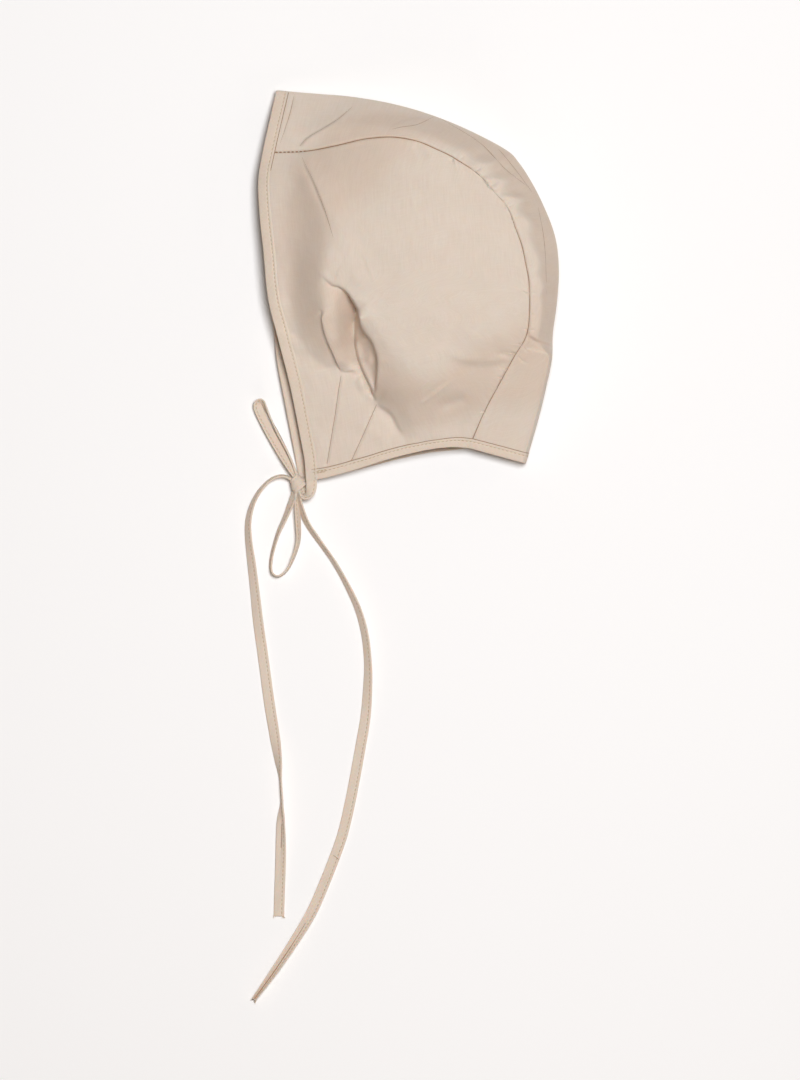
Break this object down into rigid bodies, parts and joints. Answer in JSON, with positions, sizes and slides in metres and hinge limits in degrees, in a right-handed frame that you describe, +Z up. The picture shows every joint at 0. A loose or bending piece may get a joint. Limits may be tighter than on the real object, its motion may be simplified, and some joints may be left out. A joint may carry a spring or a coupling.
{
  "type": "baby bonnet with tie tapes",
  "caption": "Soft cotton bonnet lying on its side: two side panels, a crown band, bound face and neck edges, and tie tapes in a bow.",
  "frame": {"origin": "on the surface that the bonnet lies on, under the middle of the bonnet's box, ties not counted", "axes": "+Z up off the surface, towards the wearer's left side; +Y towards the crown; +X towards the back of the head, so the face opening looks along -X"},
  "size_m": [0.158, 0.4559, 0.0518],
  "materials": {
    "poplin": "matte plain-weave cotton",
    "bias_tape": "matte folded cotton tape, stitched along its edge"
  },
  "bodies": {
    "root": {"side_panel_left": "poplin", "side_panel_right": "poplin", "crown_band": "poplin", "face_binding": "bias_tape", "neck_binding": "bias_tape", "tie_left_lead": "bias_tape", "tie_left_loop": "bias_tape", "tie_left_tail": "bias_tape", "tie_right_lead": "bias_tape", "tie_right_loop": "bias_tape", "tie_right_tail": "bias_tape", "bow_knot": "bias_tape"}
  },
  "joints": []
}
